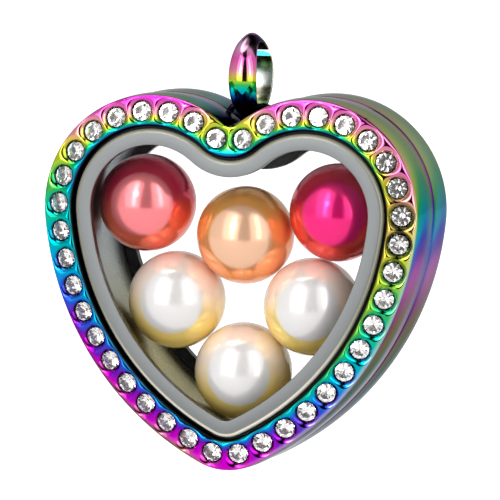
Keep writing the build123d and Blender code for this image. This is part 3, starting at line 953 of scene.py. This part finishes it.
def knuckle(z_low, z_high, side, seam):
    """A hinge barrel with its tab, between two heights, with a hole and two small edges. side is -1
    for the front half's and 1 for the back half's. Its film is that of the flank there."""
    outline, middle = barrel_outline(side, seam), np.array([HINGE_X, HINGE_Y])
    reach = outline - middle
    angle = np.arctan2(reach[:, 1], reach[:, 0])
    hole = middle + BARREL_HOLE * np.stack([np.cos(angle), np.sin(angle)], -1)
    inset = outline - reach * BARREL_EDGE / np.linalg.norm(reach, axis=1)[:, None]
    lines = np.stack([outline, outline, inset, hole, hole, inset])
    heights = [z_low + BARREL_EDGE, z_high - BARREL_EDGE, z_high, z_high, z_low, z_low]
    heights = np.broadcast_to(np.array(heights)[:, None, None], (*lines.shape[:2], 1))
    points = np.concatenate([lines, heights], -1)
    finish = finish_of(film_rounds(points, RIM_OUT, 0.0, 1.0, 1.0), 0.0, BARREL_BARE)
    return points.reshape(-1, 3), [grid_faces(len(lines), len(outline))], finish


rest = np.r_[LIP_END : len(front_section), 1 : LIP_START + 1]
wall = shell_of(front_section[rest], front_marks[rest], closed=False)
front_barrel = knuckle(HINGE_Z - MIDDLE_HALF, HINGE_Z + MIDDLE_HALF, -1, SEAM_FRONT)
film_faces = np.zeros(len(wall[1][0]) + len(front_barrel[1][0]), bool)
make_piece(
    "rim",
    join(cells, wall, front_barrel),
    [RAINBOW, foil],
    "lid",
    "front_frame",
    np.concatenate([np.tile(cell_kinds, STONES), film_faces]),
)

# %% [markdown]
# ## The back half of the case
#
# The back half is plainer: a side wall that starts at the seam and turns over in a wide rounding,
# the two outer barrels of the hinge, and the wire loop that is soldered across the notch. The wall
# could be the CAD solid with a bevel, but carried as a profile it mirrors the room without facets.

# %% The hanging loop
LOOP_HALF, LOOP_LEG, LOOP_BEND, LOOP_PLAY = 1.6, 0.9, 0.35, 0.05
# the loop is painted nearly black, painted shade in the notch
LOOP_ROUNDS, LOOP_PAINTED_SHADE = 0.75, 0.96
ACROSS_WIRE = np.array([0.0, 1.0, 0.0])


def wire(path, radius, around=20):
    """A round wire: at each path point a circle, radius * (cos t * in-plane normal + sin t * Y)."""
    along = np.gradient(path, axis=0)
    normal = np.cross(along / np.linalg.norm(along, axis=1)[:, None], ACROSS_WIRE)
    turn = np.linspace(0, 2 * np.pi, around, endpoint=False)[:, None]
    points = path[:, None] + radius * (np.cos(turn) * normal[:, None] + np.sin(turn) * ACROSS_WIRE)
    ends = np.arange(around) + np.array([[0], [(len(path) - 1) * around]])
    finish = finish_of(np.full(len(path) * around, LOOP_ROUNDS), LOOP_PAINTED_SHADE)
    return points.reshape(-1, 3), [grid_faces(len(path), around, close_rows=False), ends], finish


loop_z = BAIL_Z - BAIL_INNER + LOOP_PLAY + LOOP_WIRE / 2
loop_corners = [(-LOOP_HALF, loop_z - LOOP_LEG, 0), (-LOOP_HALF, loop_z, LOOP_BEND)]
loop_corners += [(-x, z, bend) for x, z, bend in loop_corners[::-1]]
bent = rounded(loop_corners, 8)
loop = wire(np.stack([bent[:, 0], np.zeros(len(bent)), bent[:, 1]], -1), LOOP_WIRE / 2)
print("loop:", len(bent), "points along the wire")

# %% The back half's shell
BACK_FACE, BACK_ROUND, BACK_INNER_ROUND, LINER_INSET = 4.35, 1.5, 0.1, 0.25
back_in = -(RIM_IN + LINER_INSET - FIT_GAP)
back_corners = [
    (back_in, SEAM_BACK, 0),
    (RIM_OUT, SEAM_BACK, SEAM_ROUND),
    side_wall(SEAM_BACK, BACK_FACE),
    (RIM_OUT, BACK_FACE, BACK_ROUND),
    (back_in, BACK_FACE, BACK_INNER_ROUND),
    (back_in, SEAM_BACK, 0),
]
back_section = rounded(back_corners, 12)[:-1]
back_section = refined(back_section, SEAM_BACK, SEAM_BACK + SEAM_FINE, SEAM_STEP)
# painted shade in the seam at the front of the back half
back_seam = SEAM_DARK * (1 - smooth(back_section[:, 1], SEAM_BACK + 0.16, SEAM_BACK + 0.34))
back_marks = section_marks(back_section, 1.0, back_seam, SEAM_BACK, BACK_FACE)
back_barrels = [
    knuckle(HINGE_Z - HINGE_HALF, HINGE_Z - MIDDLE_HALF - BARREL_GAP, 1, SEAM_BACK),
    knuckle(HINGE_Z + MIDDLE_HALF + BARREL_GAP, HINGE_Z + HINGE_HALF, 1, SEAM_BACK),
]
back_half = join(shell_of(back_section, back_marks), *back_barrels, loop)
make_piece("back_shell", back_half, [RAINBOW], "case", "back_frame")

# %% [markdown]
# ## The bail
#
# The bail is a strip bent round into a ring, flat inside and domed outside, wide at the middle of
# its height and narrower at its top and bottom, with a slot behind the top to open it for a chain.
# A torus could be squeezed to this shape, but its inside would be round. Here the strip's section
# is bent round in one formula, and tables by height say how film, painted dark and bare steel
# change.

# %% The bail's sizes and its tables
BAIL_OUTER = BAIL_INNER + BAIL_WALL
BAIL_HALF, BAIL_TOP_HALF, BAIL_LOW_HALF = 1.1, 0.6, 0.8
BAIL_TURN = math.radians(3.5)
SLOT_BACK, SLOT = 2.3, 0.72
EDGE_WALL, EDGE_BEND, DOME_SHARE = 0.16, 0.07, 0.9
# Rounds of film, painted dark and bare steel at distances down from the bail's centre, outside and
# inside;
# the painted dark is painted shade and painted dark reflection
OUTSIDE_DOWN = (-3.4, -2.9, -2.2, -1.5, -0.7, -0.08, 0.46, 1.0, 1.5, 2.1, 3.4)
OUTSIDE = (
    (-0.06, -0.04, -0.02, 0.02, 0.07, 0.19, 0.38, 0.56, 0.67, 0.74, 0.80),
    (0.0, 0.0, 0.0, 0.0, 0.0, 0.0, 0.0, 0.05, 0.35, 0.88, 0.92),
    (0.55, 0.60, 0.45, 0.0, 0.0, 0.0, 0.0, 0.0, 0.0, 0.0, 0.0),
)
INSIDE_DOWN = (-2.7, -1.75, -1.4, -1.1, -0.8, -0.45, 0.0, 0.8, 1.1, 1.5, 1.9, 2.7)
INSIDE = (
    (0.30, 0.28, 0.24, 0.40, 0.46, 0.48, 0.48, 0.40, 0.15, 0.20, 0.25, 0.25),
    (0.90, 0.75, 0.20, 0.72, 0.15, 0.0, 0.0, 0.05, 0.75, 0.15, 0.55, 0.90),
    (0.30, 0.35, 0.40, 0.30, 0.45, 0.70, 0.95, 1.0, 0.60, 0.70, 0.40, 0.30),
)
CAP_PAINTED_DARK, END_ROUNDS, END_BARE = 0.93, 0.57, 0.08


def bail_half_width(z):
    """Half the width at a height over the bail's centre, on the arc through the three widths."""
    grow = np.where(z > 0, BAIL_HALF - BAIL_TOP_HALF, BAIL_HALF - BAIL_LOW_HALF)
    radius = (BAIL_OUTER**2 + grow**2) / (2 * grow)
    return BAIL_HALF - (radius - np.sqrt(radius**2 - z**2))


print("bail", round(2 * BAIL_OUTER, 2), "mm high and", 2 * BAIL_HALF, "mm wide")


# %% The strip, bent round
def bail_section(count=24):
    """The section (side, rise): flat inside, a dome outside, and small rounds at the two edges,
    with side in mm from the middle and rise in mm over the inner radius."""
    sagitta = BAIL_WALL - EDGE_WALL
    radius = (BAIL_HALF**2 + sagitta**2) / (2 * sagitta)
    side = np.linspace(BAIL_HALF, -BAIL_HALF, count + 1)
    dome = EDGE_WALL + sagitta - radius + np.sqrt(radius**2 - side**2)
    dome_edge = BAIL_HALF * DOME_SHARE
    dome_rise = float(np.interp(-dome_edge, -side, dome))
    corners = [(0.0, 0.0, 0), (BAIL_HALF, 0.0, EDGE_BEND), (BAIL_HALF, EDGE_WALL, EDGE_BEND)]
    right = rounded([*corners, (dome_edge, dome_rise, 0)], 4)
    left = right[::-1] * [-1, 1]
    over = np.stack([side, dome], -1)[abs(side) < dome_edge]
    return np.concatenate([right[:-1], over, left[1:-1]])


def bail_finish(section, z):
    """The tables by height, the outside's or the inside's. The right shoulder of the top, under a
    smooth step in side and height, is painted nearly black, a painted dark reflection."""
    inside = smooth(-section[:, 1], -0.05, -0.01)
    outer = np.stack([np.interp(-z, OUTSIDE_DOWN, values) for values in OUTSIDE])
    inner = np.stack([np.interp(-z, INSIDE_DOWN, values) for values in INSIDE])
    film, dark, bare = outer + (inner - outer) * inside
    shoulder = smooth(section[:, 0] / BAIL_HALF, -0.25, 0.2)
    # painted dark reflection on the right shoulder of the top
    cap = shoulder * smooth(z, 2.1, 2.6) * (1 - smooth(z, 3.15, 3.32))
    return finish_of(film, np.maximum(dark, CAP_PAINTED_DARK * cap * (1 - inside)), bare)


def bail_strip(around=160):
    """Each section point (side, rise) runs round at radius = inner + rise from one side of the slot
    over the top, down the front and up the back to its other side: y = -r sin a, z = r cos a."""
    section = bail_section()
    radius = BAIL_INNER + section[:, 1]
    middle = BAIL_INNER + BAIL_WALL / 2
    first = SLOT / 2 / middle - math.asin(SLOT_BACK / middle)
    last = first + 2 * math.pi - SLOT / middle
    turn = first + (last - first) * np.linspace(0, 1, around)[:, None]
    y, z = -radius * np.sin(turn), radius * np.cos(turn)
    x = section[:, 0] / BAIL_HALF * bail_half_width(z)
    cos, sin = math.cos(BAIL_TURN), math.sin(BAIL_TURN)
    points = np.stack([x * cos - y * sin, x * sin + y * cos, z + BAIL_Z], -1)
    blocks = [grid_faces(around, len(section), close_rows=False)]
    return points.reshape(-1, 3), blocks, bail_finish(section, z)


def end_cap(ring):
    """One end of the bent strip: the ring, a ring drawn in by 6% and 12%, and the flat inside."""
    middle, count = ring.mean(axis=0), len(ring)
    rings = np.stack([middle + (ring - middle) * share for share in (1.0, 0.94, 0.88)])
    blocks = [grid_faces(3, count, close_rows=False), np.arange(2 * count, 3 * count)[None]]
    return rings.reshape(-1, 3), blocks, finish_of(np.full((3, count), END_ROUNDS), 0.0, END_BARE)


strip = bail_strip()
strip_width = len(bail_section())
caps = [end_cap(strip[0][:strip_width]), end_cap(strip[0][-strip_width:])]
make_piece("bail_ring", join(strip, *caps), [RAINBOW], "bail", "bail")

# %% [markdown]
# ## The front window ring
#
# A ring of bare steel holds the front pane. Its face is brushed to a fine satin grain, and its
# rounded shoulder, which the brush doesn't reach, stays glossy and straw coloured, with a painted
# highlight of pale cream on its lower part. The groove behind the shoulder is painted dark as
# shade.
# The CAD ring has the right shape, but nothing on it says where the shoulder is. Carried as a
# profile of its own, the ring keeps that in an attribute, and the finish reads it.

# %% Satin steel
# the third colour, pale cream, is a painted highlight on the lower shoulder
SATIN, SHOULDER_HIGH, SHOULDER_LOW_HIGHLIGHT = (0.17, 0.177, 0.178), (0.30, 0.30, 0.22), (0.90, 0.86, 0.72)
# the first colour, nearly black, is painted shade in the groove
GROOVE_PAINTED_SHADE, SATIN_GRAIN = (0.01, 0.01, 0.012), 9000


def satin_steel():
    """Bare steel with a fine grain, where noise moves the roughness and a slight bump. The shoulder
    is olive above and pale cream below, a painted highlight, and hardly metallic. Where the points
    carry painted shade, it is painted nearly black."""
    material, shader, tree = new_material("satin_grain")
    # painted highlight: the shoulder turns from olive to pale cream towards the bottom
    low = step_of(tree, object_place(tree)["Z"], -19 * MM, -29 * MM)
    straw = blend_colour(tree, low, SHOULDER_HIGH, SHOULDER_LOW_HIGHLIGHT)
    ring = blend_colour(tree, attribute(tree, "bare"), SATIN, straw)
    # painted shade: nearly black where the points carry painted shade
    painted_dark = blend_colour(tree, attribute(tree, "painted_shade"), ring, GROOVE_PAINTED_SHADE)
    tree.links.new(painted_dark, shader.inputs["Base Color"])
    tree.links.new(spread(tree, attribute(tree, "bare"), 1.0, 0.15), shader.inputs["Metallic"])
    grain = object_noise(tree, SATIN_GRAIN, 3.0)
    tree.links.new(spread(tree, grain, 0.30, 0.42), shader.inputs["Roughness"])
    bump = tree.nodes.new("ShaderNodeBump")
    bump.inputs["Strength"].default_value = 0.08
    bump.inputs["Distance"].default_value = 0.02 * MM
    tree.links.new(grain, bump.inputs["Height"])
    tree.links.new(bump.outputs["Normal"], shader.inputs["Normal"])
    return material


satin = satin_steel()
print("satin nodes:", len(satin.node_tree.nodes))

# %% The ring
RING_FACE, RING_STEP, RING_SHOULDER, RING_THICK = FACE_Y + 0.42, 0.20, 0.35, 0.62
GROOVE_DEEP, WINDOW_EDGE, WINDOW_ROUND = 0.50, 2.70, 0.06


def ring_shell():
    """The front window ring, one section carried round the heart: a flange under the groove, a
    shoulder rounded by a quarter circle, the flat face, and a small round at the window."""
    flange, step = -(RIM_IN + FIT_GAP), -(RIM_IN + RING_STEP)
    back, groove = RING_FACE + RING_THICK, RING_FACE + GROOVE_DEEP
    corners = [
        (flange, back, 0),
        (flange, groove, 0),
        (step, groove, 0),
        (step, RING_FACE, RING_SHOULDER),
        (-WINDOW_EDGE, RING_FACE, WINDOW_ROUND),
        (-WINDOW_EDGE, back, 0),
        (flange, back, 0),
    ]
    section = rounded(corners, 8)[:-1]
    points = carried(section, CELL_RUNS)
    out, sunk = section[:, 0], section[:, 1] - RING_FACE
    shoulder = smooth(out, step - 0.32, step - 0.20) * (1 - smooth(sunk, 0.26, 0.34))
    # painted shade in the groove and on the ring's back
    groove_shade = smooth(sunk, 0.26, 0.36) * (out > -(WINDOW_EDGE + RIM_IN) / 2)
    finish = finish_of(np.zeros(points.shape[:2]), groove_shade, shoulder)
    return points.reshape(-1, 3), [grid_faces(len(CELL_RUNS), len(section))], finish


make_piece("window_ring", ring_shell(), [satin], "lid", "front_ring")

# %% [markdown]
# ## The liner
#
# Inside, a liner of bare steel stands round the pearls, polished by hand. Its CAD shape is right,
# so only a material is needed. It could be one grey, but the real one mirrors pearls and floor, so
# its colour is a painted reflection that follows the height: bluish above and straw coloured below.
# On the ring at its back it is painted nearly black, a painted dark reflection.

# %% Polished steel
# the first two colours are painted reflections by height; the third, near black, is a painted dark
# reflection
LINER_ABOVE_REFLECTION, LINER_BELOW_REFLECTION, LINER_BACK_REFLECTION = (0.40, 0.46, 0.48), (0.46, 0.41, 0.17), (0.012, 0.013, 0.012)
LINER_CLOUDS = 700


def dress(finish, *nodes):
    """Gives CAD nodes a finish."""
    for node in nodes:
        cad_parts[node].material_slots[0].material = finish
    print(finish.name, "on", len(nodes), "nodes")


def polished_steel():
    """Bare steel polished by hand, with a painted reflection in its colour: bluish above and straw
    coloured below, and nearly black on the ring at its back as a painted dark reflection, with
    faint long clouds in its gloss."""
    material, shader, tree = new_material("polished_steel")
    shader.inputs["Metallic"].default_value = 1.0
    rough = spread(tree, object_noise(tree, LINER_CLOUDS), 0.22, 0.36)
    tree.links.new(rough, shader.inputs["Roughness"])
    place = object_place(tree)
    # painted reflection: bluish above, straw coloured below
    wall = blend_colour(tree, step_of(tree, place["Z"], -14 * MM, -26 * MM), LINER_ABOVE_REFLECTION, LINER_BELOW_REFLECTION)
    # painted dark reflection on the ring at the back
    painted_dark = step_of(tree, place["Y"], 2.9 * MM, 3.3 * MM)
    tree.links.new(blend_colour(tree, painted_dark, wall, LINER_BACK_REFLECTION), shader.inputs["Base Color"])
    return material


dress(polished_steel(), "back_liner", "hinge_pin")

# %% [markdown]
# ## Panes and crystals
#
# The panes are clear, and the crystals are cut glass over the foil. Glass that bends light would
# suit both, but light from the lamps hardly gets through such a pane to what lies behind it. So the
# panes are a faint gloss over nothing, and only the crystals refract. Wiping and dust leave a
# little unevenness in the gloss of both.


# %% Clear and cut glass
def clear_pane():
    """Clean glass as a faint gloss over nothing, with the slight haze of wiping."""
    material, shader, tree = new_material("clear_pane")
    shader.inputs["Base Color"].default_value = (0.02, 0.02, 0.02, 1)
    tree.links.new(spread(tree, object_noise(tree, 200), 0.01, 0.05), shader.inputs["Roughness"])
    shader.inputs["Alpha"].default_value = 0.03
    return material


def cut_glass():
    """Crystal: clear, strongly refracting, with a breath of dust."""
    material, shader, tree = new_material("cut_glass")
    shader.inputs["Base Color"].default_value = (1, 0.98, 0.97, 1)
    tree.links.new(spread(tree, object_noise(tree, 2500), 0.0, 0.03), shader.inputs["Roughness"])
    shader.inputs["IOR"].default_value = 1.6
    shader.inputs["Transmission Weight"].default_value = 0.95
    return material


dress(clear_pane(), "front_window", "back_window")
dress(cut_glass(), *(f"crystal_{number:02d}" for number in range(1, STONES + 1)))

# %% [markdown]
# ## Pearls
#
# The pearls are beads with a lacquer that shines like metal under a clear coat. Their colour holds
# a
# painted reflection: the side of a bead that faces one of the two windows has one bright colour, a
# painted reflection of the light through the window, and the rest a deeper one that differs above
# and below, a painted reflection of the case round it and of the floor. A shader could ask how
# steeply it is looked at, but then the colour slides when the camera moves.

# %% Pearl lacquer
WINDOW_SIDE = (0.17, -0.98, 0.03)
PEARL_CLOUDS = 300


def pearl_lacquer(name, colour, over, under, metal):
    """Pearl lacquer, part metallic under a clear coat: one colour on what faces a window, and round
    that a deeper one that differs above and below, with a wavy border between the two. All three
    colours are painted reflections."""
    material, shader, tree = new_material(name)
    normal = tree.nodes.new("ShaderNodeTexCoord").outputs["Normal"]
    split = tree.nodes.new("ShaderNodeSeparateXYZ")
    tree.links.new(normal, split.inputs[0])
    drift = spread(tree, object_noise(tree, PEARL_CLOUDS, 1.0), -0.2, 0.2)
    rise = calculate(tree, "ADD", split.outputs["Z"], drift)
    # painted reflection: one deeper colour above and another below
    side = blend_colour(tree, step_of(tree, rise, 0.45, -0.45), over, under)
    facing = calculate(tree, "ABSOLUTE", towards_of(tree, normal, WINDOW_SIDE))
    # painted reflection: the bright colour where the bead faces a window
    bead = blend_colour(tree, step_of(tree, facing, 0.80, 0.73), colour, side)
    tree.links.new(bead, shader.inputs["Base Color"])
    shader.inputs["Metallic"].default_value = metal
    shader.inputs["Roughness"].default_value = 0.18
    shader.inputs["Coat Weight"].default_value = 0.35
    shader.inputs["Coat Roughness"].default_value = 0.12
    return material


# name: colour facing a window, deeper colour above, deeper colour below, how metallic;
# the three colours are painted reflections
LACQUERS = {
    "red_lacquer": ((0.98, 0.24, 0.26), (0.64, 0.0, 0.05), (0.96, 0.16, 0.08), 0.6),
    "gold_lacquer": ((0.88, 0.52, 0.33), (0.86, 0.40, 0.09), (1.0, 0.38, 0.14), 0.45),
    "magenta_lacquer": ((0.96, 0.0, 0.20), (0.62, 0.0, 0.04), (0.88, 0.04, 0.03), 0.6),
    "white_lacquer": ((0.77, 0.75, 0.74), (0.93, 0.80, 0.69), (0.95, 0.70, 0.19), 0.22),
}
red, gold, magenta, white = (pearl_lacquer(name, *row) for name, row in LACQUERS.items())
dress(red, "pearl_red")
dress(gold, "pearl_gold")
dress(magenta, "pearl_magenta")
dress(white, "pearl_white_left", "pearl_white_right", "pearl_bottom")
